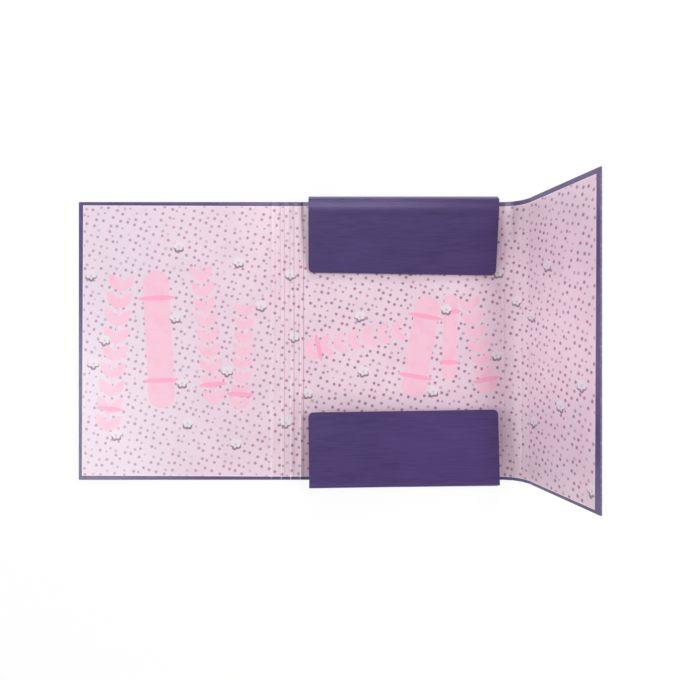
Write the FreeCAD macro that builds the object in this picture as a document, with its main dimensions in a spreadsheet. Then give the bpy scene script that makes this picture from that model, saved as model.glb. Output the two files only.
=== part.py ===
import FreeCAD, Part
import os
import re
import Sketcher

# Paper-covered board folder with two gussets and three flaps, lying open with its lining up.
# The origin is on the outer face, at the middle of the back panel; +X runs to the side flap,
# +Y to the top flap and +Z out of the lining. Every panel is modelled flat in its own frame,
# from the crease that it turns about, and is then placed at its resting angle.

SIZES = [
    # wrapped panels
    ("panel_height", 340.0),
    ("back_width", 248.0),
    ("cover_width", 237.2),
    ("side_width", 115.5),
    ("spine_pitch", 11.6),
    ("side_pitch", 11.0),
    # materials
    ("board_thick", 1.8),
    ("wrap_thick", 0.25),
    ("lining_thick", 0.2),
    ("card_thick", 0.7),
    # creases between boards and the papers that bridge them
    ("joint_gap", 3.7),
    ("crease_slit", 0.5),
    ("turn_in", 15.0),
    ("end_border", 4.8),
    ("cover_border", 4.6),
    ("side_border", 6.5),
    # card flaps at the two ends of the back panel
    ("flap_width", 228.0),
    ("flap_length", 89.0),
    ("flap_radius", 6.0),
    ("gusset_pitch", 8.0),
    ("gusset_taper", 1.5),
    ("flap_slit", 0.6),
    ("tab_depth", 18.0),
    # resting turn at each crease, in degrees
    ("side_angle_one", 12.0),
    ("side_angle_two", 23.0),
    ("side_angle_three", 21.0),
    ("side_angle_four", 19.8),
    ("top_angle_one", 62.7),
    ("top_angle_two", 62.7),
    ("top_angle_three", 62.7),
    ("bottom_angle_one", 48.0),
    ("bottom_angle_two", 66.0),
    ("bottom_angle_three", 68.0),
]

doc = FreeCAD.newDocument("flap_folder")
sheet = doc.addObject("Spreadsheet::Sheet", "dims")
for row, (name, size) in enumerate(SIZES, start=1):
    sheet.set(f"A{row}", name)
    sheet.set(f"B{row}", str(size))
    sheet.setAlias(f"B{row}", name)
doc.recompute()

size_name = re.compile(r"\b(" + "|".join(name for name, size in SIZES) + r")\b")

# Distances that several pieces share, written with the sheet's names
HALF_HEIGHT = "panel_height / 2"
HALF_BACK = "back_width / 2"
HALF_FLAP = "flap_width / 2"
BOARD_TOP = "(wrap_thick + board_thick)"
STACK_TOP = "(wrap_thick + board_thick + lining_thick)"
TURN_LEVEL = "board_thick"
SHOULDER = "joint_gap / 2"
LIP = "crease_slit / 2"
FOLD_LEVEL = "(wrap_thick + lining_thick) / 2"
CARD_FOLD = "card_thick / 2"
CARD_LIP = "flap_slit / 2"
TAB_INNER = "(panel_height / 2 - tab_depth)"

sub_parts = []


def bound(text):
    return size_name.sub(r"dims.\1", text)


def measure(text):
    return float(sheet.evalExpression(bound(text)))


def sub_part(label):
    body = doc.addObject("PartDesign::Body", label)
    body.Label = label
    sub_parts.append(body)
    return body


def origin_plane(body, role):
    return next(item for item in body.Origin.OriginFeatures if item.Role == role)


def outline(body, name, role, loops, level="0"):
    sketch = body.newObject("Sketcher::SketchObject", name)
    sketch.AttachmentSupport = [(origin_plane(body, role), "")]
    sketch.MapMode = "FlatFace"
    sketch.setExpression("AttachmentOffset.Base.z", bound(level))
    for points in loops:
        first = sketch.GeometryCount
        count = len(points)
        corners = [FreeCAD.Vector(measure(across), measure(along), 0) for across, along in points]
        for i in range(count):
            sketch.addGeometry(Part.LineSegment(corners[i], corners[(i + 1) % count]), False)
        for i in range(count):
            after = first + (i + 1) % count
            sketch.addConstraint(Sketcher.Constraint("Coincident", first + i, 2, after, 1))
        for i, (across, along) in enumerate(points):
            for kind, text, place in (("DistanceX", across, corners[i].x), ("DistanceY", along, corners[i].y)):
                index = sketch.addConstraint(Sketcher.Constraint(kind, -1, 1, first + i, 1, place))
                sketch.setExpression(f"Constraints[{index}]", bound(text))
    return sketch


def rectangle(low_across, high_across, low_along, high_along):
    return [
        (low_across, low_along),
        (high_across, low_along),
        (high_across, high_along),
        (low_across, high_along),
    ]


def pad(body, sketch, length, symmetric=False):
    feature = body.newObject("PartDesign::Pad", sketch.Name + "_pad")
    feature.Profile = sketch
    feature.SideType = "Symmetric" if symmetric else "One side"
    feature.setExpression("Length", bound(length))
    return feature


def pocket(body, sketch, length, reverse=False):
    feature = body.newObject("PartDesign::Pocket", sketch.Name + "_pocket")
    feature.Profile = sketch
    feature.Reversed = reverse
    feature.setExpression("Length", bound(length))
    return feature


def place(body, yaw, start, height, fold, steps, turns):
    # A chain of links leaves the back panel in direction yaw; steps are the links passed
    # before this one, turns are the crease turns up to and including its own.
    out = [start]
    rise = [height]
    for i, step in enumerate(steps):
        slope = " + ".join(turns[: i + 1])
        out.append(f"({step}) * cos({slope})")
        rise.append(f"({step}) * sin({slope})")
    slope = " + ".join(turns)
    distance = " + ".join(out) + f" + ({fold}) * sin({slope})"
    level = " + ".join(rise) + f" - ({fold}) * cos({slope})"
    base = f"vector(({distance}) * cos({yaw}); ({distance}) * sin({yaw}); {level})"
    body.setExpression("Placement", bound(f"placement({base}; rotation({yaw}; -({slope}); 0))"))


# Greyboard: the full thickness in the middle, pressed thinner where the wrap turns in over it
def board(label, low, high, plateau_high):
    body = sub_part(label)
    half = f"{HALF_HEIGHT} - wrap_thick"
    inner = f"{HALF_HEIGHT} - turn_in"
    base = outline(body, label + "_base", "XY_Plane", [rectangle(low, high, f"-({half})", half)], "wrap_thick")
    pad(body, base, "board_thick - wrap_thick")
    middle = rectangle(low, plateau_high, f"-({inner})", inner)
    plateau = outline(body, label + "_plateau", "XY_Plane", [middle], TURN_LEVEL)
    pad(body, plateau, "wrap_thick")
    return body


# Outer paper: a sheet under the board, with walls and turn-ins that close round the board's edges
def wrap(label, sheet_low, sheet_high, rim_loops, slot_low, slot_length):
    body = sub_part(label)
    ends = (f"-({HALF_HEIGHT})", HALF_HEIGHT)
    under = outline(body, label + "_sheet", "XY_Plane", [rectangle(sheet_low, sheet_high, *ends)])
    pad(body, under, "wrap_thick")
    rim = outline(body, label + "_rim", "XY_Plane", rim_loops)
    pad(body, rim, BOARD_TOP)
    half = f"{HALF_HEIGHT} - wrap_thick"
    section = rectangle(f"-({half})", half, "wrap_thick", TURN_LEVEL)
    slot = outline(body, label + "_slot", "YZ_Plane", [section], slot_low)
    pocket(body, slot, slot_length, reverse=True)
    return body


def end_rims(low, high):
    inner = f"{HALF_HEIGHT} - turn_in"
    return [
        rectangle(low, high, inner, HALF_HEIGHT),
        rectangle(low, high, f"-({HALF_HEIGHT})", f"-({inner})"),
    ]


def edge_rim(low, high):
    inner = f"{HALF_HEIGHT} - turn_in"
    reach = f"{high} - turn_in"
    return [
        [
            (low, f"-({HALF_HEIGHT})"),
            (high, f"-({HALF_HEIGHT})"),
            (high, HALF_HEIGHT),
            (low, HALF_HEIGHT),
            (low, inner),
            (reach, inner),
            (reach, f"-({inner})"),
            (low, f"-({inner})"),
        ]
    ]


# Printed lining: over the board, down its edge into the crease and out along the wrap
def lining(label, profile):
    body = sub_part(label)
    section = outline(body, label + "_section", "XZ_Plane", [profile])
    pad(body, section, "panel_height - 2 * end_border", symmetric=True)
    return body


def dip(axis, side):
    # Lining section at a crease, from the paper's edge up to the top of the board;
    # side is + where the board lies beyond the axis and - where it lies before it.
    upper = [
        (f"{axis} {side} {LIP}", "wrap_thick + lining_thick"),
        (f"{axis} {side} ({SHOULDER} - lining_thick)", "wrap_thick + lining_thick"),
        (f"{axis} {side} ({SHOULDER} - lining_thick)", STACK_TOP),
    ]
    lower = [
        (f"{axis} {side} {SHOULDER}", BOARD_TOP),
        (f"{axis} {side} {SHOULDER}", "wrap_thick"),
        (f"{axis} {side} {LIP}", "wrap_thick"),
    ]
    return upper, lower


def strip_profile(near_axis, far_axis):
    near_upper, near_lower = dip(near_axis, "+")
    far_upper, far_lower = dip(far_axis, "-")
    return near_upper + far_upper[::-1] + far_lower[::-1] + near_lower


def panel_profile(width, border):
    upper, lower = dip("0", "+")
    edge = f"{width} - {border}"
    return upper + [(edge, STACK_TOP), (edge, BOARD_TOP)] + lower


def strip(names, pitch):
    low = SHOULDER
    high = f"{pitch} - {SHOULDER}"
    return [
        board(names[0], low, high, high),
        wrap(names[1], LIP, f"{pitch} - {LIP}", end_rims(low, high), low, f"{pitch} - joint_gap"),
        lining(names[2], strip_profile("0", pitch)),
    ]


def edge_panel(names, width, border):
    inner = f"{width} - wrap_thick"
    return [
        board(names[0], SHOULDER, inner, f"{width} - turn_in"),
        wrap(names[1], LIP, width, edge_rim(SHOULDER, width), SHOULDER, f"{inner} - {SHOULDER}"),
        lining(names[2], panel_profile(width, border)),
    ]


# Back panel, which carries both gussets and both end flaps
def back_panel():
    half = f"({HALF_BACK} - {SHOULDER})"
    lip = f"{HALF_BACK} - {LIP}"
    low = f"-{half}"
    board("back_board", low, half, half)
    wrap("back_wrap", f"-({lip})", lip, end_rims(low, half), low, f"2 * {half}")
    body = lining("back_lining", strip_profile(f"-({HALF_BACK})", HALF_BACK))
    tab_side = f"({HALF_FLAP} - gusset_taper)"
    cover_side = f"({tab_side} + lining_thick)"
    edge = f"{HALF_HEIGHT} - end_border"
    inner = f"{TAB_INNER} - lining_thick"
    raised = [
        rectangle(f"-{cover_side}", cover_side, inner, edge),
        rectangle(f"-{cover_side}", cover_side, f"-({edge})", f"-({inner})"),
    ]
    bulge = outline(body, "back_lining_bulge", "XY_Plane", raised, BOARD_TOP)
    pad(body, bulge, "card_thick + lining_thick")
    seats = [
        rectangle(f"-{tab_side}", tab_side, TAB_INNER, edge),
        rectangle(f"-{tab_side}", tab_side, f"-({edge})", f"-{TAB_INNER}"),
    ]
    seat = outline(body, "back_lining_seat", "XY_Plane", seats, BOARD_TOP)
    pocket(body, seat, "card_thick", reverse=True)
    reach = f"{HALF_HEIGHT} - {CARD_LIP}"
    tab("top_tab", rectangle(f"-{tab_side}", tab_side, TAB_INNER, reach))
    tab("bottom_tab", rectangle(f"-{tab_side}", tab_side, f"-({reach})", f"-{TAB_INNER}"))


def tab(label, loop):
    body = sub_part(label)
    glued = outline(body, label + "_outline", "XY_Plane", [loop], BOARD_TOP)
    pad(body, glued, "card_thick")


# Spine gusset and front cover, which lie flat on the table
def spine_and_cover():
    flat = "0"
    for i in range(3):
        names = [f"spine_board_{i + 1}", f"spine_wrap_{i + 1}", f"spine_lining_{i + 1}"]
        for body in strip(names, "spine_pitch"):
            place(body, "180", HALF_BACK, FOLD_LEVEL, FOLD_LEVEL, ["spine_pitch"] * i, [flat] * (i + 1))
    for body in edge_panel(["cover_board", "cover_wrap", "cover_lining"], "cover_width", "cover_border"):
        place(body, "180", HALF_BACK, FOLD_LEVEL, FOLD_LEVEL, ["spine_pitch"] * 3, [flat] * 4)


# Side gusset, which curls up from the back panel, and the side flap that stands on it
def side_and_flap():
    turns = ["side_angle_one", "side_angle_two", "side_angle_three", "side_angle_four"]
    for i in range(3):
        names = [f"side_board_{i + 1}", f"side_wrap_{i + 1}", f"side_lining_{i + 1}"]
        for body in strip(names, "side_pitch"):
            place(body, "0", HALF_BACK, FOLD_LEVEL, FOLD_LEVEL, ["side_pitch"] * i, turns[: i + 1])
    names = ["side_flap_board", "side_flap_wrap", "side_flap_lining"]
    for body in edge_panel(names, "side_width", "side_border"):
        place(body, "0", HALF_BACK, FOLD_LEVEL, FOLD_LEVEL, ["side_pitch"] * 3, turns)


# Card flap: two gusset strips that roll up and over, then the flap with rounded free corners
def end_flap(end, yaw):
    turns = [f"{end}_angle_one", f"{end}_angle_two", f"{end}_angle_three"]
    height = f"{BOARD_TOP} + {CARD_FOLD}"
    far = f"gusset_pitch - {CARD_LIP}"
    foot = f"({HALF_FLAP} - gusset_taper)"
    tapered = [(CARD_LIP, f"-{foot}"), (far, f"-({HALF_FLAP})"), (far, HALF_FLAP), (CARD_LIP, foot)]
    square = rectangle(CARD_LIP, far, f"-({HALF_FLAP})", HALF_FLAP)
    for i, loop in enumerate((tapered, square)):
        body = sub_part(f"{end}_gusset_{i + 1}")
        pad(body, outline(body, f"{body.Label}_outline", "XY_Plane", [loop]), "card_thick")
        place(body, yaw, HALF_HEIGHT, height, CARD_FOLD, ["gusset_pitch"] * i, turns[: i + 1])
    body = sub_part(f"{end}_flap")
    loop = rectangle(CARD_LIP, "flap_length", f"-({HALF_FLAP})", HALF_FLAP)
    card = pad(body, outline(body, f"{end}_flap_outline", "XY_Plane", [loop]), "card_thick")
    doc.recompute()
    corners = [
        f"Edge{i + 1}"
        for i, edge in enumerate(card.Shape.Edges)
        if edge.BoundBox.XMin > measure("flap_length - flap_radius") and edge.BoundBox.YLength < measure("flap_radius")
    ]
    rounded = body.newObject("PartDesign::Fillet", f"{end}_flap_corners")
    rounded.Base = (card, corners)
    rounded.setExpression("Radius", bound("flap_radius"))
    place(body, yaw, HALF_HEIGHT, height, CARD_FOLD, ["gusset_pitch"] * 2, turns)


back_panel()
spine_and_cover()
side_and_flap()
end_flap("top", "90")
end_flap("bottom", "-90")
doc.recompute()

for item in doc.Objects:
    if {"Invalid", "Error"} & set(item.State):
        raise RuntimeError(f"{item.Label} failed: {item.State}")
for body in sub_parts:
    if body.Shape.isNull() or not body.Shape.isValid():
        raise RuntimeError(f"{body.Label} has no valid shape")

os.makedirs("parts", exist_ok=True)
for body in sub_parts:
    body.Shape.exportStep(f"parts/{body.Label}.step")
    print(f"{body.Label}: {len(body.Shape.Solids)} solid, {body.Shape.Volume:.1f} mm3")
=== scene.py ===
import math
import bpy
import numpy as np
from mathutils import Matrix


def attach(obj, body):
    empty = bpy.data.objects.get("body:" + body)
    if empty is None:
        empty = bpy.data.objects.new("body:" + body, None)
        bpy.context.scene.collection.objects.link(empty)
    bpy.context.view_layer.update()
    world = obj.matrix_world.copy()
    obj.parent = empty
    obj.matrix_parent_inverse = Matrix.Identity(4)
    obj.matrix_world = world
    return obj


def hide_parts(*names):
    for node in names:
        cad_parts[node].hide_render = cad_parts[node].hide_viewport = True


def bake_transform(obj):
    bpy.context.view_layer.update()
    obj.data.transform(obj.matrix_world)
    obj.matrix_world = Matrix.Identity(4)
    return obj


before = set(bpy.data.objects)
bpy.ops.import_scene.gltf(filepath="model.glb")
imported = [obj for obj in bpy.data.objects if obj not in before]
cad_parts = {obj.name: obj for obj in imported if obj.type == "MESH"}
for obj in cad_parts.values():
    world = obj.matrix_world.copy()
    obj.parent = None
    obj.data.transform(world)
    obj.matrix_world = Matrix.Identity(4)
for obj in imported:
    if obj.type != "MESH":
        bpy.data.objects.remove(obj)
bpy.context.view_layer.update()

mm = 0.001


def tint(red, green, blue):  # screen colour, 0 to 255, as a linear colour
    parts = [c / 255 for c in (red, green, blue)]
    return [c / 12.92 if c <= 0.04045 else ((c + 0.055) / 1.055) ** 2.4 for c in parts] + [1.0]


def ease(t):
    t = np.clip(t, 0.0, 1.0)
    return t * t * (3 - 2 * t)


def slope(value, place, half):  # 0 to 1 over a short slope about a place
    return ease((value - place + half) / (2 * half))


def ridge(away, width):
    return np.exp(-(away / width) ** 2)


# ways to wire a material

def addNode(tree, kind, sockets=None, **settings):
    made = tree.nodes.new(kind)
    for key, value in settings.items():
        setattr(made, key, value)
    for key, value in (sockets or {}).items():
        if isinstance(value, bpy.types.NodeSocket):
            tree.links.new(value, made.inputs[key])
        else:
            made.inputs[key].default_value = value
    return made


def sums(tree, operation, first, second=0.0, third=0.0):
    return addNode(tree, "ShaderNodeMath", {0: first, 1: second, 2: third}, operation=operation).outputs[0]


def steps(tree, value, low, high, start=0.0, end=1.0):  # soft ramp from start to end
    sockets = {"Value": value, "From Min": low, "From Max": high, "To Min": start, "To Max": end}
    return addNode(tree, "ShaderNodeMapRange", sockets, interpolation_type="SMOOTHSTEP").outputs["Result"]


def mixed(tree, share, under, over, blend="MIX"):
    made = addNode(tree, "ShaderNodeMix", {0: share, 6: under, 7: over}, data_type="RGBA", blend_type=blend)
    return made.outputs[2]


def grain(tree, vector, scale, detail=3.0, rough=0.55):
    sockets = {"Vector": vector, "Scale": scale, "Detail": detail, "Roughness": rough}
    return addNode(tree, "ShaderNodeTexNoise", sockets).outputs["Fac"]


def startMaterial(name):
    material = bpy.data.materials.new(name)
    material.use_nodes = True
    tree = material.node_tree
    return material, tree, tree.nodes["Principled BSDF"]


def sheetPlace(tree):  # place on the flat sheet, in millimetres
    flat = addNode(tree, "ShaderNodeAttribute", attribute_name="flat")
    scaled = addNode(tree, "ShaderNodeVectorMath", {0: flat.outputs["Vector"], "Scale": 1000.0}, operation="SCALE")
    return scaled.outputs[0]


def addBump(tree, shader, height, strength, distance):
    sockets = {"Height": height, "Strength": strength, "Distance": distance}
    tree.links.new(addNode(tree, "ShaderNodeBump", sockets).outputs[0], shader.inputs["Normal"])


def addCoat(shader, weight, rough):
    shader.inputs["Coat Weight"].default_value = weight
    shader.inputs["Coat Roughness"].default_value = rough


def markOf(tree, name):  # how strong a mark is there, kept with the mesh
    return addNode(tree, "ShaderNodeAttribute", attribute_name=name).outputs["Fac"]


def stretch(tree, vector, share):  # draws a grain out along the folder
    return addNode(tree, "ShaderNodeVectorMath", {0: vector, 1: (share, 1.0, 1.0)}, operation="MULTIPLY").outputs[0]


# lining paper: dots, large pale sprigs and pills, small blossoms

lining = {
    "paper": tint(232, 206, 219),
    "deep": tint(227, 200, 214),
    # painted glare colour on the cover
    "glarePale": tint(226, 213, 226),
    "paperFade": (-130.0, -390.0, 0.0, 0.6),  # painted glare, the paper paler towards the cover's edge: from and to along the sheet, share there
    "dot": tint(142, 112, 140),
    "rosyDot": tint(170, 100, 140),
    "dotPitch": 9.0,
    "dotRadius": 1.75,
    "dotLeast": 0.62,  # the smallest dot, as a share
    "dotSoft": (-0.85, 0.75),
    "dotScatter": 0.55,
    "dotTurn": 0.37,
    "dotWander": 0.8,
    "dotInk": (0.38, 0.74),  # palest and fullest dot
    "dotFade": (-120.0, -220.0, 1.25, 0.94),  # painted glare: dots paler on the cover
    "blossomPitch": 78.0,
    "blossomRadius": 7.3,
    "blossomScatter": 0.8,
    "petals": 5,
    "petalShare": (0.26, 0.78),  # how far the petals stand out, and the round they stand on
    "white": tint(229, 215, 223),
    "shade": tint(142, 120, 138),
    "pale": tint(241, 193, 211),
    "paleEdge": tint(240, 179, 203),
    "rose": tint(246, 162, 193),
    "creaseShade": tint(192, 128, 152),  # painted shade beside each crease, where the ink is also pressed deeper
    # painted highlight along each crease's crest
    "crest": tint(250, 240, 246),
    "trimmed": tint(247, 238, 247),  # along the cut edge: pale paper and a painted highlight
    "markStrength": {"creaseShade": 0.6, "crest": 0.55, "trimmed": 0.7},
    "leafPitch": 0.86,
    "leafLean": 38.0,
    "leafWidth": 0.23,
    "stem": 0.9,
    "sprigs": [  # middle, turn in degrees, pairs of leaves, leaf
        (-352, -14, 5, 9, 25), (-238, 8, -6, 9, 22), (-196, -18, 3, 8, 19),
        (-58, 2, 78, 7, 21), (93, -4, -12, 7, 20),
    ],
    "pills": [  # middle, turn in degrees, width, height
        (-298, 2, -3, 32, 168), (22, -6, 10, 30, 124), (58, 6, 2, 17, 104),
    ],
    "sprigBand": (0.36, 17.0),  # place along the sprig, half its width
    "pillBand": (0.3, 0.72),  # place along the pill, half its width as a share
    "bandHeight": 3.0,
    "coat": (0.25, 0.18),
}


def printGroup(name, fields):
    group = bpy.data.node_groups.new(name, "ShaderNodeTree")
    group.interface.new_socket("Place", in_out="INPUT", socket_type="NodeSocketVector")
    group.interface.new_socket("Middle", in_out="INPUT", socket_type="NodeSocketVector")
    for field in ("Turn",) + fields:
        group.interface.new_socket(field, in_out="INPUT", socket_type="NodeSocketFloat")
    for result in ("Shape", "Band"):
        group.interface.new_socket(result, in_out="OUTPUT", socket_type="NodeSocketFloat")
    given = group.nodes.new("NodeGroupInput").outputs
    moved = addNode(group, "ShaderNodeVectorMath", {0: given["Place"], 1: given["Middle"]}, operation="SUBTRACT")
    turned = addNode(group, "ShaderNodeVectorRotate", {"Vector": moved.outputs[0], "Angle": given["Turn"]},
                     rotation_type="Z_AXIS")
    parts = addNode(group, "ShaderNodeSeparateXYZ", {0: turned.outputs[0]}).outputs
    return group, given, parts[0], parts[1]


def closeGroup(group, shape, band):
    end = group.nodes.new("NodeGroupOutput")
    group.links.new(shape, end.inputs["Shape"])
    group.links.new(band, end.inputs["Band"])
    return group


def ellipse(tree, x, y, wide, tall):  # above 0 inside
    a = sums(tree, "POWER", sums(tree, "ABSOLUTE", sums(tree, "DIVIDE", x, wide)), 2.0)
    b = sums(tree, "POWER", sums(tree, "ABSOLUTE", sums(tree, "DIVIDE", y, tall)), 2.0)
    return sums(tree, "SUBTRACT", 1.0, sums(tree, "ADD", a, b))


def sprigGroup():
    group, given, x, y = printGroup("leafSprig", ("Length", "Leaf"))
    half = sums(group, "MULTIPLY", given["Length"], 0.5)
    pitch = sums(group, "MULTIPLY", given["Leaf"], lining["leafPitch"])
    side = sums(group, "ABSOLUTE", x)
    pairs = sums(group, "DIVIDE", sums(group, "ADD", y, half), pitch)
    step = sums(group, "MULTIPLY", sums(group, "FRACT", pairs), pitch)
    lean = math.radians(lining["leafLean"])
    lift, out = math.cos(lean), math.sin(lean)
    along = sums(group, "ADD", sums(group, "MULTIPLY", side, out), sums(group, "MULTIPLY", step, lift))
    across = sums(group, "SUBTRACT", sums(group, "MULTIPLY", side, lift), sums(group, "MULTIPLY", step, out))
    share = sums(group, "SUBTRACT", sums(group, "MULTIPLY", sums(group, "DIVIDE", along, given["Leaf"]), 2.0), 1.0)
    bulge = sums(group, "SUBTRACT", 1.0, sums(group, "MULTIPLY", share, share))
    width = sums(group, "MULTIPLY", sums(group, "MULTIPLY", given["Leaf"], lining["leafWidth"]), bulge)
    leaf = sums(group, "GREATER_THAN", sums(group, "SUBTRACT", width, sums(group, "ABSOLUTE", across)), 0.0)
    stem = sums(group, "LESS_THAN", side, lining["stem"])
    within = sums(group, "LESS_THAN", sums(group, "ABSOLUTE", y), half)
    shape = sums(group, "MULTIPLY", sums(group, "MAXIMUM", leaf, stem), within)
    place, wide = lining["sprigBand"]
    low = sums(group, "ADD", y, sums(group, "MULTIPLY", given["Length"], place))
    band = sums(group, "GREATER_THAN", ellipse(group, x, low, wide, lining["bandHeight"]), 0.0)
    return closeGroup(group, shape, band)


def pillGroup():
    group, given, x, y = printGroup("longPill", ("Wide", "Tall"))
    radius = sums(group, "MULTIPLY", given["Wide"], 0.5)
    reach = sums(group, "SUBTRACT", sums(group, "MULTIPLY", given["Tall"], 0.5), radius)
    over = sums(group, "MAXIMUM", sums(group, "SUBTRACT", sums(group, "ABSOLUTE", y), reach), 0.0)
    square = sums(group, "ADD", sums(group, "MULTIPLY", x, x), sums(group, "MULTIPLY", over, over))
    far = sums(group, "SQRT", square)
    shape = sums(group, "LESS_THAN", far, radius)
    place, share = lining["pillBand"]
    wide = sums(group, "MULTIPLY", given["Wide"], share)
    end = sums(group, "SUBTRACT", sums(group, "ABSOLUTE", y), sums(group, "MULTIPLY", given["Tall"], place))
    band = sums(group, "GREATER_THAN", ellipse(group, x, end, wide, lining["bandHeight"]), 0.0)
    return closeGroup(group, shape, band)


def dottedPrint():
    material, tree, shader = startMaterial("dottedLining")
    place = sheetPlace(tree)
    wobble = addNode(tree, "ShaderNodeTexNoise", {"Vector": place, "Scale": 0.35, "Detail": 1.0}).outputs["Color"]
    sockets = {0: wobble, 1: (lining["dotWander"], lining["dotWander"], 0.0), 2: place}
    wander = addNode(tree, "ShaderNodeVectorMath", sockets, operation="MULTIPLY_ADD")
    sockets = {"Vector": wander.outputs[0], "Angle": lining["dotTurn"]}
    turned = addNode(tree, "ShaderNodeVectorRotate", sockets, rotation_type="Z_AXIS")
    paper = mixed(tree, steps(tree, grain(tree, place, 0.02, 4.0), 0.35, 0.7), lining["paper"], lining["deep"])
    outward = addNode(tree, "ShaderNodeSeparateXYZ", {0: place}).outputs[0]
    # painted glare: the paper turns paler towards the cover's free edge
    paper = mixed(tree, steps(tree, outward, *lining["paperFade"]), paper, lining["glarePale"])

    # scattered dots
    sockets = {"Vector": turned.outputs[0], "Scale": 1 / lining["dotPitch"],
               "Randomness": lining["dotScatter"]}
    cells = addNode(tree, "ShaderNodeTexVoronoi", sockets, voronoi_dimensions="2D")
    chance = addNode(tree, "ShaderNodeSeparateColor", {0: cells.outputs["Color"]}).outputs
    away = sums(tree, "MULTIPLY", cells.outputs["Distance"], lining["dotPitch"])
    least = lining["dotLeast"] * lining["dotRadius"]
    size = steps(tree, chance[0], 0.0, 0.35, least, lining["dotRadius"])
    dots = steps(tree, sums(tree, "SUBTRACT", size, away), *lining["dotSoft"])
    dots = sums(tree, "MULTIPLY", dots, steps(tree, chance[1], 0.0, 0.6, *lining["dotInk"]))
    # painted glare: dots paler on the cover
    dots = sums(tree, "MULTIPLY", dots, steps(tree, outward, *lining["dotFade"]))
    ink = mixed(tree, steps(tree, chance[2], 0.2, 0.8), lining["dot"], lining["rosyDot"])
    colour = mixed(tree, dots, paper, ink)

    # large pale prints cover the dots
    shape = band = None
    groups = {"sprigs": sprigGroup(), "pills": pillGroup()}
    for kind, fields in (("sprigs", ("Length", "Leaf")), ("pills", ("Wide", "Tall"))):
        for across, along, turn, first, second in lining[kind]:
            made = addNode(tree, "ShaderNodeGroup", node_tree=groups[kind])
            tree.links.new(place, made.inputs["Place"])
            made.inputs["Middle"].default_value = (across, along, 0)
            made.inputs["Turn"].default_value = math.radians(turn)
            long = first * second * lining["leafPitch"] if kind == "sprigs" else first
            made.inputs[fields[0]].default_value = long
            made.inputs[fields[1]].default_value = second
            here = made.outputs
            shape = here["Shape"] if shape is None else sums(tree, "MAXIMUM", shape, here["Shape"])
            band = here["Band"] if band is None else sums(tree, "MAXIMUM", band, here["Band"])
    inner = steps(tree, grain(tree, place, 0.06, 2.0), 0.3, 0.6, 0.4, 1.0)
    colour = mixed(tree, shape, colour, mixed(tree, inner, lining["paleEdge"], lining["pale"]))
    colour = mixed(tree, sums(tree, "MULTIPLY", band, 0.9), colour, lining["rose"])

    # small white blossoms lie over both
    sockets = {"Vector": place, "Scale": 1 / lining["blossomPitch"], "Randomness": lining["blossomScatter"]}
    cells = addNode(tree, "ShaderNodeTexVoronoi", sockets, voronoi_dimensions="2D")
    local = addNode(tree, "ShaderNodeVectorMath", {0: place, 1: cells.outputs["Position"]}, operation="SUBTRACT")
    chance = addNode(tree, "ShaderNodeSeparateColor", {0: cells.outputs["Color"]}).outputs
    parts = addNode(tree, "ShaderNodeSeparateXYZ", {0: local.outputs[0]}).outputs
    far = addNode(tree, "ShaderNodeVectorMath", {0: local.outputs[0]}, operation="LENGTH").outputs["Value"]
    angle = sums(tree, "ADD", sums(tree, "ARCTAN2", parts[1], parts[0]), sums(tree, "MULTIPLY", chance[0], 1.3))
    petal = sums(tree, "ABSOLUTE", sums(tree, "COSINE", sums(tree, "MULTIPLY", angle, lining["petals"] / 2)))
    stand, base = (share * lining["blossomRadius"] for share in lining["petalShare"])
    rim = sums(tree, "MULTIPLY_ADD", petal, stand, base)
    inside = sums(tree, "SUBTRACT", rim, far)
    blossom = steps(tree, inside, -0.25, 0.25)
    down = sums(tree, "DIVIDE", sums(tree, "MULTIPLY", parts[1], -1.0), sums(tree, "ADD", far, 0.01))
    depth = steps(tree, down, 0.1, 0.9, 1.6, 4.0)
    crescent = steps(tree, sums(tree, "DIVIDE", inside, depth), 0.45, 1.0, 1.0, 0.0)
    crescent = sums(tree, "MULTIPLY", crescent, steps(tree, down, -0.35, 0.45))
    heart = steps(tree, far, 0.9, 1.9, 0.35, 0.0)
    ink = sums(tree, "MAXIMUM", crescent, heart)
    flower = mixed(tree, ink, lining["white"], lining["shade"])
    colour = mixed(tree, blossom, colour, flower)

    # painted shade beside each crease, where the ink is also pressed deeper; a painted highlight along each crest;
    # a pale cut edge with a painted highlight
    for mark, share in lining["markStrength"].items():
        colour = mixed(tree, sums(tree, "MULTIPLY", markOf(tree, mark), share), colour, lining[mark])

    tree.links.new(colour, shader.inputs["Base Color"])
    fibre = grain(tree, place, 1.1, 4.0)
    tree.links.new(steps(tree, fibre, 0.3, 0.7, 0.3, 0.4), shader.inputs["Roughness"])
    addCoat(shader, *lining["coat"])
    swell = sums(tree, "MULTIPLY_ADD", grain(tree, place, 0.12, 2.0), 3.0, fibre)
    addBump(tree, shader, swell, 0.25, 0.00003)
    return material


wrapFinish = {
    "paper": tint(92, 77, 126),
    "deep": tint(82, 67, 114),
    "worn": tint(176, 166, 194),
    # pale where crests cross the spine's lower edge: bare paper and a painted highlight
    "bareAndGlint": tint(206, 197, 218),
    "coat": (0.6, 0.25),
}


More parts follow.
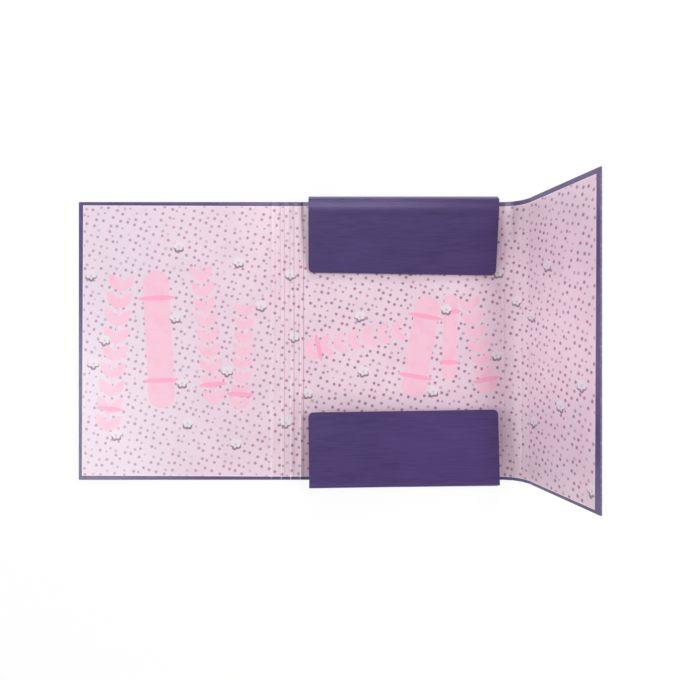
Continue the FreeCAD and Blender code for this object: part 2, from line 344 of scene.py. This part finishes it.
def purpleWrap():
    material, tree, shader = startMaterial("purpleWrap")
    place = sheetPlace(tree)
    cloud = grain(tree, place, 0.05, 5.0)
    fibre = grain(tree, place, 0.9, 4.0)
    colour = mixed(tree, steps(tree, cloud, 0.35, 0.7), wrapFinish["paper"], wrapFinish["deep"])
    speck = steps(tree, grain(tree, place, 0.28, 6.0, 0.7), 0.52, 0.68)
    rubbed = sums(tree, "MULTIPLY", markOf(tree, "worn"), sums(tree, "MULTIPLY_ADD", speck, 0.45, 0.1))
    colour = mixed(tree, rubbed, colour, wrapFinish["worn"])
    # bare rubbed paper and a painted highlight where crease crests cross the spine's lower edge
    broken = steps(tree, grain(tree, place, 0.5, 3.0), 0.36, 0.56)
    colour = mixed(tree, sums(tree, "MULTIPLY", markOf(tree, "nickWearAndGlint"), broken), colour, wrapFinish["bareAndGlint"])
    tree.links.new(colour, shader.inputs["Base Color"])
    tree.links.new(steps(tree, fibre, 0.3, 0.7, 0.34, 0.46), shader.inputs["Roughness"])
    addCoat(shader, *wrapFinish["coat"])
    swell = sums(tree, "MULTIPLY_ADD", grain(tree, place, 0.15, 2.0), 2.0, fibre)
    addBump(tree, shader, swell, 0.3, 0.00003)
    return material


cardFinish = {
    "face": tint(74, 55, 111),
    "deep": tint(59, 42, 95),
    # pale wear on the rims and a painted highlight along the folds
    "rubbed": tint(150, 138, 172),
    "coat": (0.2, 0.25),
}


def glossCard():
    material, tree, shader = startMaterial("glossCard")
    place = sheetPlace(tree)
    stretched = stretch(tree, place, 0.25)
    streak = grain(tree, stretch(tree, place, 0.07), 0.55, 4.0)
    cloud = sums(tree, "MULTIPLY_ADD", streak, 0.6, sums(tree, "MULTIPLY", grain(tree, stretched, 0.04, 5.0), 0.4))
    colour = mixed(tree, steps(tree, cloud, 0.35, 0.7), cardFinish["face"], cardFinish["deep"])
    speck = steps(tree, grain(tree, place, 0.35, 6.0, 0.7), 0.5, 0.66)
    # the worn mark: pale wear on the rims and a painted highlight along the folds
    rubbed = sums(tree, "MULTIPLY", markOf(tree, "worn"), sums(tree, "MULTIPLY_ADD", speck, 0.5, 0.15))
    colour = mixed(tree, rubbed, colour, cardFinish["rubbed"])
    tree.links.new(colour, shader.inputs["Base Color"])
    ripple = sums(tree, "ADD", grain(tree, stretched, 0.22, 3.0), streak)
    fibre = grain(tree, place, 1.4, 3.0)
    tree.links.new(steps(tree, fibre, 0.3, 0.7, 0.34, 0.44), shader.inputs["Roughness"])
    addCoat(shader, *cardFinish["coat"])
    addBump(tree, shader, sums(tree, "MULTIPLY_ADD", ripple, 6.0, fibre), 0.35, 0.00004)
    return material


coreFinish = {"fibre": tint(236, 228, 233), "shadow": tint(214, 200, 210)}


def cutEdge():
    material, tree, shader = startMaterial("paperCutEdge")
    place = addNode(tree, "ShaderNodeTexCoord").outputs["Object"]
    fibre = grain(tree, place, 900.0, 5.0)
    colour = mixed(tree, steps(tree, fibre, 0.3, 0.7), coreFinish["fibre"], coreFinish["shadow"])
    tree.links.new(colour, shader.inputs["Base Color"])
    shader.inputs["Roughness"].default_value = 0.8
    addBump(tree, shader, fibre, 0.3, 0.00004)
    return material


boardFinish = {"pulp": tint(176, 169, 158), "deep": tint(142, 136, 126), "speck": tint(96, 92, 88)}


def greyBoard():
    material, tree, shader = startMaterial("greyBoard")
    place = addNode(tree, "ShaderNodeTexCoord").outputs["Object"]
    fibre = grain(tree, place, 700.0, 6.0, 0.65)
    speck = steps(tree, grain(tree, place, 1500.0, 2.0), 0.62, 0.72)
    colour = mixed(tree, steps(tree, fibre, 0.3, 0.7), boardFinish["pulp"], boardFinish["deep"])
    colour = mixed(tree, sums(tree, "MULTIPLY", speck, 0.6), colour, boardFinish["speck"])
    tree.links.new(colour, shader.inputs["Base Color"])
    shader.inputs["Roughness"].default_value = 0.9
    addBump(tree, shader, fibre, 0.5, 0.00008)
    return material


printedPaper, outerPaper, flapCard = dottedPrint(), purpleWrap(), glossCard()
paperCore, board = cutEdge(), greyBoard()
print("materials wired")


# papers are laid out flat in millimetres (u along the folder, v up it), then curled to their resting place

papers = {
    "half": 170.0,
    "top": 2.05,  # top of the boards
    "liningThick": 0.2,
    "wrapThick": 0.25,
    "level": 0.225,  # height of every crease's axis on the flat sheet
    "spine": [-124.0, -135.6, -147.2, -158.8],
    "side": [124.0, 135.0, 146.0, 157.0],
    "spineBeads": [1.1, 0.9, 0.7, 0.35],  # how strong each crease is
    "sideBeads": [0.4, 0.35, 0.45, 0.4],
    "sideSharp": 1.6,  # the side's creases are this much narrower
    "sideTurns": [12.0, 23.0, 21.0, 19.8],
    "coverEdge": -396.0,
    "sideEdge": 272.5,
    "bend": 1.85,  # a crease bends, and its groove reaches, this far each side of its axis
    "beadHeight": 1.0,  # a crease stands up inside as a low bead
    "beadCrest": -0.9,  # its highest line, to the left of the axis
    "beadNear": 3.6,  # its slope to the right
    "beadFar": 2.4,
    # how far the painted crease shade lies from each crease
    "creaseShadeLine": 3.0,
    "turnIn": 15.0,
    "bevelAngle": 60.0,
    "sharpAngle": 40.0,
}


def overCreases(u, profile):  # adds up a profile of the distance from each crease
    total = 0 * u
    for place, strength in zip(papers["spine"], papers["spineBeads"]):
        total = total + strength * profile(u - place)
    for place, strength in zip(papers["side"], papers["sideBeads"]):
        total = total + strength * profile((u - place) * papers["sideSharp"])
    return total


def bead(u):  # full along a crease's crest, 0 on the boards
    def profile(away):
        d = away - papers["beadCrest"]
        return np.where(d > 0, 1 - ease(d / papers["beadNear"]), 1 - ease(-d / papers["beadFar"]))
    return overCreases(u, profile)


def groove(u):  # full along a crease's axis, 0 on the boards
    return overCreases(u, lambda away: 1 - ease(np.abs(away) / papers["bend"]))


def rollOver(along, rise, creases, level):  # bends a flat strip at each crease, from the last to the first
    flat = along
    for place, turn, reach in reversed(creases):
        angle = np.radians(turn) * slope(flat, place, reach)
        out, up = along - place, rise - level
        along = place + out * np.cos(angle) - up * np.sin(angle)
        rise = level + out * np.sin(angle) + up * np.cos(angle)
    return along, rise


def curl(u, v, height):
    creases = [(place, turn, papers["bend"]) for place, turn in zip(papers["side"], papers["sideTurns"])]
    x, z = rollOver(u, height, creases, papers["level"])
    return np.stack([x, v, z], -1)


def store(mesh, name, kind, values):
    layer = mesh.attributes.new(name, kind, "POINT")
    field = "vector" if kind == "FLOAT_VECTOR" else "value"
    layer.data.foreach_set(field, np.ascontiguousarray(values, np.float32).ravel())


def paperPiece(name, points, flat, skins, thickness, lids=(), marks=None, bevel=0.0):
    rows, columns = points.shape[:2]
    corner = np.arange(rows * columns).reshape(rows, columns)
    quads = np.stack([corner[:-1, :-1], corner[1:, :-1], corner[1:, 1:], corner[:-1, 1:]], -1).reshape(-1, 4)
    mesh = bpy.data.meshes.new(name)
    mesh.from_pydata((points.reshape(-1, 3) * mm).tolist(), [], quads.tolist() + [list(lid) for lid in lids])
    store(mesh, "flat", "FLOAT_VECTOR", np.concatenate([flat, np.zeros_like(flat[..., :1])], -1) * mm)
    for key, values in (marks or {}).items():
        store(mesh, key, "FLOAT", values)
    for skin in skins:
        mesh.materials.append(skin)
    piece = bpy.data.objects.new(name, mesh)
    bpy.context.scene.collection.objects.link(piece)
    solid = piece.modifiers.new("thickness", "SOLIDIFY")
    solid.thickness = thickness * mm
    solid.offset = -1.0
    solid.use_even_offset = True
    solid.material_offset_rim = len(skins) - 1
    if bevel:
        soft = piece.modifiers.new("softEdge", "BEVEL")
        soft.width = bevel * mm
        soft.segments = 2
        soft.limit_method = "ANGLE"
        soft.angle_limit = math.radians(papers["bevelAngle"])
    made = bpy.data.meshes.new_from_object(piece.evaluated_get(bpy.context.evaluated_depsgraph_get()))
    piece.modifiers.clear()
    piece.data = made
    bpy.data.meshes.remove(mesh)
    made.polygons.foreach_set("use_smooth", np.ones(len(made.polygons), bool))
    made.set_sharp_from_angle(angle=math.radians(papers["sharpAngle"]))
    return piece


def heading(angle, yaw):  # unit vector at that slope, leaving the middle in that direction
    return np.array([math.cos(yaw) * math.cos(angle), math.sin(yaw) * math.cos(angle), math.sin(angle)])


def bendWith(piece):
    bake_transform(piece)


def grid(u, v):
    return np.meshgrid(np.asarray(u, float), np.asarray(v, float), indexing="ij")


def finishPiece(piece, body, slot, *nodes):
    if body:
        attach(piece, body)
    if nodes:
        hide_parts(*nodes)


nearCrease = np.concatenate([[-5.0], np.arange(-4.4, 4.41, 0.2), [5.0]])  # mesh lines across a crease
spineStops = [-164.8, -153.0, -141.4, -129.8, -118.0]  # where one piece of paper hands over to the next
sideStops = [118.0, 129.5, 140.5, 151.5, 163.0]
sideSlopes = np.concatenate([[0.0], np.cumsum(papers["sideTurns"])])


def layCreases(make, paper, slot):  # a piece over each crease
    for i in range(4):
        runs = {
            "spine": (spineStops[3 - i], spineStops[4 - i], 0, 0, math.pi),
            "side": (sideStops[i], sideStops[i + 1], sideSlopes[i], sideSlopes[i + 1], 0.0),
        }
        for part, (low, high, before, after, yaw) in runs.items():
            u = np.concatenate([[low], papers[part][i] + nearCrease, [high]])
            piece = make(f"{part}{paper}{i + 1}", u)
            bendWith(piece)
            strip = [f"{part}_{paper.lower()}_{i + 1}"] if i < 3 else []
            finishPiece(piece, None, slot, *strip)


# lining: the print is one sheet, cut where a crease piece ends at the middle of a strip

liningCut = {
    "half": 165.2,
    "coverBorder": 4.9,
    "sideBorder": 6.5,
    "skew": 0.0045,  # it was laid slightly askew on the cover
    "skewFrom": -178.8,
    "skewRun": 200.0,
    "coverMiddle": -280.0,
    "sideSkew": 0.0065,  # and on the side flap
    "sideSkewFrom": 165.0,
    "sideSkewRun": 95.0,
    "drift": 0.0016,  # right of the spine it runs a little down
    "driftRun": 300.0,
    "tabSide": 113.0,
    "tabEdge": 150.9,
    "tabRise": 0.72,
    "tabSlope": 0.7,
    "turnInRise": 0.05,
    "turnInSlope": 0.8,
    "creaseShadeWidth": 0.7,
    "crestWidth": 0.5,
    "crestFade": (60.0, 160.0, 0.25),  # painted highlight, strongest towards the lower end: from, over what height, and what is left
    "trim": (0.3, 0.9),  # width of the pale cut edge with its painted highlight, and how far it fades
    "stops": [165.2, 164.6, 164, 160, 155.8, 154.2, 151.6, 150.2, 146, 120, 90, 60, 30],  # mesh lines up the sheet
}
acrossLining = np.array([-v for v in liningCut["stops"]] + [0] + liningCut["stops"][::-1])


def liningShift(u):  # how far the sheet lies below the middle
    onCover = np.clip(u, papers["coverEdge"], papers["spine"][3]) - liningCut["coverMiddle"]
    past = np.clip(u - papers["spine"][0], 0.0, liningCut["driftRun"])
    return -liningCut["skew"] * onCover - liningCut["drift"] * past


def liningPiece(name, u):
    u, v = grid(u, acrossLining)
    onTab = 1 - slope(np.abs(u), liningCut["tabSide"], liningCut["tabSlope"])
    overTab = slope(np.abs(v), liningCut["tabEdge"], liningCut["tabSlope"]) * onTab
    edge = np.minimum(papers["half"] - np.abs(v), np.minimum(u - papers["coverEdge"], papers["sideEdge"] - u))
    overTurnIn = 1 - slope(edge, papers["turnIn"], liningCut["turnInSlope"])
    height = papers["top"] + papers["liningThick"] + papers["beadHeight"] * bead(u)
    height = height + liningCut["tabRise"] * overTab + liningCut["turnInRise"] * overTurnIn * (1 - overTab)
    askew = liningCut["skew"] * ease((liningCut["skewFrom"] - u) / liningCut["skewRun"])
    askew = askew + liningCut["sideSkew"] * ease((u - liningCut["sideSkewFrom"]) / liningCut["sideSkewRun"])
    points = curl(u + askew * v, v + liningShift(u), height)
    low, high = papers["coverEdge"] + liningCut["coverBorder"], papers["sideEdge"] - liningCut["sideBorder"]
    toEdge = np.minimum(liningCut["half"] - np.abs(v), np.minimum(u - low, high - u))
    fadeFrom, fadeRun, left = liningCut["crestFade"]
    crest = overCreases(u, lambda d: ridge(d - papers["beadCrest"], liningCut["crestWidth"]))
    # painted shade beside the creases, painted highlights along the crests and the cut edge
    marks = {
        "creaseShade": overCreases(u, lambda d: ridge(d - papers["creaseShadeLine"], liningCut["creaseShadeWidth"])),
        "crest": crest * (left + (1 - left) * ease((fadeFrom - v) / fadeRun)),
        "trimmed": 1 - ease((toEdge - liningCut["trim"][0]) / liningCut["trim"][1]),
    }
    skins = [printedPaper, paperCore]
    return paperPiece(name, points, np.stack([u, v], -1), skins, papers["liningThick"], marks=marks)


def layLining():
    cover = papers["coverEdge"] + liningCut["coverBorder"]
    side = papers["sideEdge"] - liningCut["sideBorder"]
    fromEdge = np.array([0, 0.6, 1.2, 5, 9.4, 11])
    stops = np.concatenate([cover + fromEdge, np.linspace(-370, -180, 12), [-170, spineStops[0]]])
    finishPiece(liningPiece("coverLining", stops), "front_cover", "pink_lining", "cover_lining")
    byTab = np.array([111.5, 112.3, 113, 113.7, 114.5, sideStops[0]])
    stops = np.concatenate([-byTab[::-1], np.linspace(-100, 100, 11), byTab])
    finishPiece(liningPiece("backLining", stops), "back_panel", "pink_lining", "back_lining")
    stops = np.concatenate([[sideStops[4], 170, 185, 200, 215, 230, 245, 256, 258, 262], side - fromEdge[2::-1]])
    finishPiece(liningPiece("sideFlapLining", stops), "side_flap", "pink_lining", "side_flap_lining")
    layCreases(liningPiece, "Lining", "pink_lining")


layLining()
print("lining laid")


# wrap: the outer sheet, folded round the boards' edges and turned in under the lining

wrapCut = {
    "fold": 0.55,  # radius of the fold round a board's edge
    "groove": 0.6,  # how deep the outside is pressed in at a crease
    "foldShare": 0.45,  # at most this share of the thickness
    "pull": 0.3,  # how far the edge draws in at a crease
    "corner": 0.9,
    "cornerEase": 0.3,  # the corner gets sharper inwards
    "cornerLeast": 0.15,
    "cornerRound": 0.29,
    "above": (15.0, 11.0, 8.0, 5.2, 3.4, 2.0, 1.1),  # mesh lines in from the edge
    "below": (1.1, 2.5, 6.0, 15.0, 40.0),
    "middle": (90.0, 45.0, 0.0, -45.0, -90.0),
    "waistWear": 0.8,
    "nickAbove": 1.55,  # on the upper side of the spine's lower end: bare rubbed paper with a painted highlight where the crests cross
    "nickWidth": 0.7,
    "nickSoft": 0.5,
}


def wrapSection(top, low):  # (inset, height, wear) from the turned-in edge, round the fold, to the underside
    fold = np.minimum(wrapCut["fold"], (top - low) * wrapCut["foldShare"])
    quarter = np.radians([0, 22.5, 45, 67.5, 90])
    flatTop = [(d + 0 * top, top, 0.0) for d in wrapCut["above"]]
    shoulder = [(fold - fold * math.sin(a), top - fold + fold * math.cos(a), 1.0) for a in quarter]
    waist = [(0 * top, (top + low) / 2, wrapCut["waistWear"])]
    heel = [(fold - fold * math.cos(a), low + fold - fold * math.sin(a), 1.0) for a in quarter]
    under = [(d + 0 * low, low, 0.0) for d in wrapCut["below"]]
    return flatTop + shoulder + waist + heel + under


def wrapStrip(name, u):  # across the whole height, open at both ends
    u = np.asarray(u, float)
    rise = bead(u)
    section = wrapSection(papers["top"] + papers["beadHeight"] * rise, wrapCut["groove"] * groove(u))
    pull = wrapCut["pull"] * rise
    upper = [(papers["half"] - pull - inset, height, wear) for inset, height, wear in section]
    lower = [(-v, height, wear) for v, height, wear in upper[::-1]]
    middle = [(v + 0 * u, section[-1][1], 0.0) for v in wrapCut["middle"]]
    line = upper + middle + lower
    v = np.stack([part[0] for part in line], -1)
    height = np.stack([part[1] for part in line], -1)
    wear = np.stack([part[2] + 0 * u for part in line], -1)
    wide = u[:, None] + 0 * v
    reach, soft = wrapCut["nickWidth"], wrapCut["nickSoft"]
    crests = overCreases(wide, lambda d: ease((reach - np.abs(d - papers["beadCrest"])) / soft))
    nickWearAndGlint = np.minimum(crests, 1) * np.where((height > wrapCut["nickAbove"]) & (v < 0) & (wide < 0), 1.0, 0.0)
    return paperPiece(name, curl(wide, v, height), np.stack([wide, v], -1), [outerPaper], papers["wrapThick"],
                      marks={"worn": wear, "nickWearAndGlint": nickWearAndGlint})


def wrapPanel(name, crease, edge):  # a panel with a free edge: the fold runs round three sides
    side = 1.0 if edge > crease else -1.0
    section = wrapSection(np.float64(papers["top"]), np.float64(0.0))
    along = np.concatenate([np.linspace(0, 0.9, 8), [0.97]])
    rows = []
    for inset, height, wear in section:
        trim = max(wrapCut["corner"] - wrapCut["cornerEase"] * inset, wrapCut["cornerLeast"])
        cut = wrapCut["cornerRound"] * trim
        reach, half = edge - side * inset, papers["half"] - inset
        run = crease + along * (reach - side * trim - crease)
        upper = [(u, half) for u in run] + [(reach - side * trim, half), (reach - side * cut, half - cut)]
        free = [(reach, v) for v in np.linspace(half - trim, trim - half, 13)]
        lower = [(u, -v) for u, v in upper[::-1]]
        rows.append([(u, side * v, height, wear) for u, v in upper + free + lower])
    line = np.array(rows).transpose(1, 0, 2)
    lid = (np.arange(line.shape[0]) * line.shape[1] + line.shape[1] - 1).tolist()
    u, v, height, wear = (line[..., i] for i in range(4))
    return paperPiece(name, curl(u, v, height), np.stack([u, v], -1), [outerPaper], papers["wrapThick"],
                      lids=[lid], marks={"worn": wear, "nickWearAndGlint": 0 * wear})


def layWrap():
    piece = wrapPanel("coverWrap", spineStops[0], papers["coverEdge"])
    finishPiece(piece, "front_cover", "purple_wrap", "cover_wrap")
    piece = wrapPanel("sideFlapWrap", sideStops[4], papers["sideEdge"])
    finishPiece(piece, "side_flap", "purple_wrap", "side_flap_wrap")
    piece = wrapStrip("backWrap", np.linspace(spineStops[4], sideStops[0], 13))
    finishPiece(piece, "back_panel", "purple_wrap", "back_wrap")
    layCreases(wrapStrip, "Wrap", "purple_wrap")


layWrap()
print("wrap folded")


# card flaps: a glued tab, a soft roll over the creases, and the flap with rounded corners

# rubbed: how strongly the fold's second crease is painted with a highlight
flaps = {
    "top": {
        "yaw": math.pi / 2, "turns": [62.7, 62.7, 52.0, 11.6], "cadTurns": [62.7, 62.7, 62.7], "rubbed": 0.6,
        "skew": 0.0150, "foldSkew": 0.0, "shift": -0.2, "drift": -0.5, "longer": 0.2, "outward": 0.6, "bow": 0.9,
    },
    "bottom": {
        "yaw": -math.pi / 2, "turns": [48.0, 66.0, 67.0, 1.0], "cadTurns": [48.0, 66.0, 68.0], "rubbed": 0.2,
        "skew": 0.0, "foldSkew": 0.0155, "shift": 0.7, "drift": -1.2, "longer": 0.6, "outward": 1.6, "bow": 0.7,
    },
}
flapCut = {
    "half": 114.0,
    "taper": 1.5,
    "length": 89.0,
    "radius": 6.0,
    "pitch": 8.0,
    "tab": 17.9,
    "thick": 0.7,
    "under": 2.05,
    "level": 2.4,
    "reach": 2.6,
    "creases": [0.0, 8.0, 16.0, 27.0],  # the last is a soft bend in the flap itself
    "bends": [2.6, 2.0, 4.0, 10.0],  # how far each one reaches to either side
    "settled": 14.0,  # by here the fold's slant and shift are full
    "loose": 24.0,  # from here it lies askew and drifts
    "bowFrom": 20.0,
    "bowRun": 70.0,
    "creaseWidth": 0.9,
    # painted highlight along the fold's third crease
    "thirdFoldGlint": 0.2,
    "rim": 0.35,
    "rimRubbed": 0.5,
    "softEdge": 0.12,
    "apart": 600.0,  # its grain starts clear of the other sheets'
}


def flapPiece(name, spec, s):
    end = 2 * flapCut["pitch"] + flapCut["length"]
    inner = np.linspace(-0.97, 0.97, 41)
    s, t = grid(s, np.concatenate([[-1, -0.9965, -0.992, -0.985], inner, [0.985, 0.992, 0.9965, 1]]))
    wide = flapCut["half"] - flapCut["taper"] * (1 - ease(s / flapCut["pitch"]))
    beyond = np.clip(s - (end - flapCut["radius"]), 0, flapCut["radius"])
    wide = wide - flapCut["radius"] + np.sqrt(np.maximum(flapCut["radius"] ** 2 - beyond ** 2, 0))
    sign = math.copysign(1, spec["yaw"])
    x = sign * t * wide
    settled = ease(s / flapCut["settled"])
    loose = np.clip((s - flapCut["loose"]) / (end - flapCut["loose"]), 0, 1)
    reach = s + loose * (spec["longer"] + spec["skew"] * x)
    aslant = (spec["foldSkew"] * x + sign * spec["outward"]) * settled
    creases = list(zip(flapCut["creases"], spec["turns"], flapCut["bends"]))
    out, rise = rollOver(reach, flapCut["under"] + 0 * s, creases, flapCut["level"])
    bowed = ease((s - flapCut["bowFrom"]) / flapCut["bowRun"])
    rise = rise + spec["bow"] * (1 - (x / flapCut["half"]) ** 2) * bowed
    across = x + spec["shift"] * settled + spec["drift"] * loose
    points = np.stack([across, sign * (papers["half"] + out) + aslant, rise], -1)
    # the folds' second and third creases get a painted highlight, the top flap's most; the rims are worn pale
    second, third = (ridge(s - place, flapCut["creaseWidth"]) for place in flapCut["creases"][1:3])
    foldGlint = spec["rubbed"] * second + flapCut["thirdFoldGlint"] * third
    rim = np.exp(-(wide - np.abs(x)) / flapCut["rim"]) + np.exp(-np.maximum(end - s, 0) / flapCut["rim"])
    worn = np.minimum(foldGlint + flapCut["rimRubbed"] * rim, 1)
    flat = np.stack([x + flapCut["apart"], s * sign], -1)
    return paperPiece(name, points, flat, [flapCard], flapCut["thick"],
                      marks={"worn": worn}, bevel=flapCut["softEdge"])


def foldFlaps():
    straight = 2 * flapCut["pitch"] + flapCut["length"] - flapCut["radius"]
    roundEnd = straight + flapCut["radius"] * np.sin(np.radians(np.linspace(11.25, 90, 8)))
    runs = [  # mesh lines out from the first crease, for the tab, the gusset and the flap
        np.concatenate([[-flapCut["tab"], -14, -10, -7, -5], np.arange(-4, 4.01, 0.4)]),
        np.arange(4, 12.01, 0.4),
        np.round(np.concatenate([np.arange(12, 38.01, 0.5), np.arange(40, 99, 4), [straight], roundEnd]), 4),
    ]
    for end, spec in flaps.items():
        nodes = [[f"{end}_tab"], [f"{end}_gusset_1", f"{end}_gusset_2"], [f"{end}_flap"]]
        for i, part in enumerate(("Tab", "Gusset", "Flap")):
            piece = flapPiece(end + part, spec, runs[i])
            bendWith(piece)
            finishPiece(piece, None, "flap_card", *nodes[i])


foldFlaps()
print("flaps folded")

for name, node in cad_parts.items():
    if "board" in name:
        node.data.materials.clear()
        node.data.materials.append(board)


# stage, light and camera

stage = {
    "floor": 6.0,
    "floorHeight": -0.0004,
    "floorTone": (0.95, 0.95, 0.95, 1),
    "shadow": 0.13,
    "plain": (0.5, 1.1),  # the floor turns plain white between these distances
    "walls": 0.30,
    "ceiling": 0.325,
    "aim": (-0.06, 0.0, 0.0),
    "far": 1.7,
    "softbox": (0.35, 0.7),
}
lamps = {  # bearing and height in degrees, power, colour
    "leftSoftbox": (168, 18, 5.7, (0.96, 1.0, 1.04)),
    "rightWindow": (0, 19, 11.0, (0.95, 1.01, 0.97)),
    "lowRightSoftbox": (315, 20, 10.0, (0.96, 1.01, 0.98)),
    "highRightSoftbox": (20, 52, 11.0, (0.97, 1.01, 0.98)),
    "topSoftbox": (90, 18, 12.6, (1.06, 0.98, 1.05)),
    "topLeftSoftbox": (135, 18, 1.2, (1.0, 1.0, 1.0)),
    "cornerGlare": (198, 53, 4.5, (1.0, 1.0, 1.0)),
    "topGlare": (90, 66, 5.0, (1.0, 1.0, 1.0)),
}
beam = {  # on the side flap
    "from": (180, 25), "power": 40.0, "spread": 9.0, "radius": 0.12, "aim": (0.16, 0.0, 0.05),
}
view = {"place": (-0.0764, 0.0011, 0.6227), "focal": 507.6, "pixels": 680, "sensor": 36.0}


def seenDirectly(tree):  # 1 for rays that show the backdrop itself
    path = addNode(tree, "ShaderNodeLightPath").outputs
    straight = sums(tree, "MAXIMUM", path["Is Camera Ray"], path["Is Glossy Ray"])
    return sums(tree, "MAXIMUM", straight, path["Is Transmission Ray"])


def hangLamp(data, aim, bearing, height):
    lamp = bpy.data.objects.new(data.name, data)
    bpy.context.scene.collection.objects.link(lamp)
    turn, lift = math.radians(bearing), math.radians(height)
    lamp.location = np.array(aim) + stage["far"] * heading(lift, turn)
    lamp.rotation_euler = (0, math.pi / 2 - lift, turn)
    lamp.visible_glossy = "Glare" in data.name  # the others leave no white patches on the papers
    lamp.visible_diffuse = data.name != "topGlare"  # a strip that only shows in the gloss


def setStage():
    bpy.ops.mesh.primitive_plane_add(size=stage["floor"], location=(0, 0, stage["floorHeight"]))
    floor = bpy.context.object
    floor.name = "floor"
    material, tree, shader = startMaterial("paleFloor")
    shader.inputs["Base Color"].default_value = stage["floorTone"]
    shader.inputs["Roughness"].default_value = 0.9
    glow = addNode(tree, "ShaderNodeEmission", {"Color": (1, 1, 1, 1), "Strength": 1.0})
    place = addNode(tree, "ShaderNodeNewGeometry").outputs["Position"]
    away = addNode(tree, "ShaderNodeVectorMath", {0: place}, operation="LENGTH").outputs["Value"]
    plain = steps(tree, away, *stage["plain"], 1 - stage["shadow"], 1.0)
    share = sums(tree, "MULTIPLY", seenDirectly(tree), plain)
    blend = addNode(tree, "ShaderNodeMixShader", {0: share, 1: shader.outputs[0], 2: glow.outputs[0]})
    tree.links.new(blend.outputs[0], tree.nodes["Material Output"].inputs["Surface"])
    floor.data.materials.append(material)

    world = bpy.data.worlds.new("studio")
    world.use_nodes = True
    bpy.context.scene.world = world
    tree = world.node_tree
    toward = addNode(tree, "ShaderNodeTexCoord").outputs["Generated"]
    lift = addNode(tree, "ShaderNodeSeparateXYZ", {0: toward}).outputs[2]
    around = steps(tree, lift, 0.1, 0.6, stage["walls"], stage["ceiling"])
    low = sums(tree, "MULTIPLY", seenDirectly(tree), steps(tree, lift, 0.2, 0.5, 1.0, 0.0))
    white = sums(tree, "MAXIMUM", low, addNode(tree, "ShaderNodeLightPath").outputs["Is Camera Ray"])
    tree.links.new(mixed(tree, white, around, (1, 1, 1, 1)), tree.nodes["Background"].inputs["Color"])

    for name, (bearing, height, power, colour) in lamps.items():
        data = bpy.data.lights.new(name, "AREA")
        data.shape = "RECTANGLE"
        data.size, data.size_y = stage["softbox"]
        data.energy, data.color = power, colour
        hangLamp(data, stage["aim"], bearing, height)
    data = bpy.data.lights.new("sideBeam", "SPOT")
    data.spot_size, data.spot_blend = math.radians(beam["spread"]), 1.0
    data.energy, data.shadow_soft_size = beam["power"], beam["radius"]
    hangLamp(data, beam["aim"], *beam["from"])

    data = bpy.data.cameras.new("camera")
    data.sensor_width = view["sensor"]
    data.lens = view["sensor"] * view["focal"] / view["pixels"]
    camera = bpy.data.objects.new("camera", data)
    bpy.context.scene.collection.objects.link(camera)
    camera.location = view["place"]
    bpy.context.scene.camera = camera
    bpy.context.scene.view_settings.view_transform = "Standard"


setStage()
print("stage set")
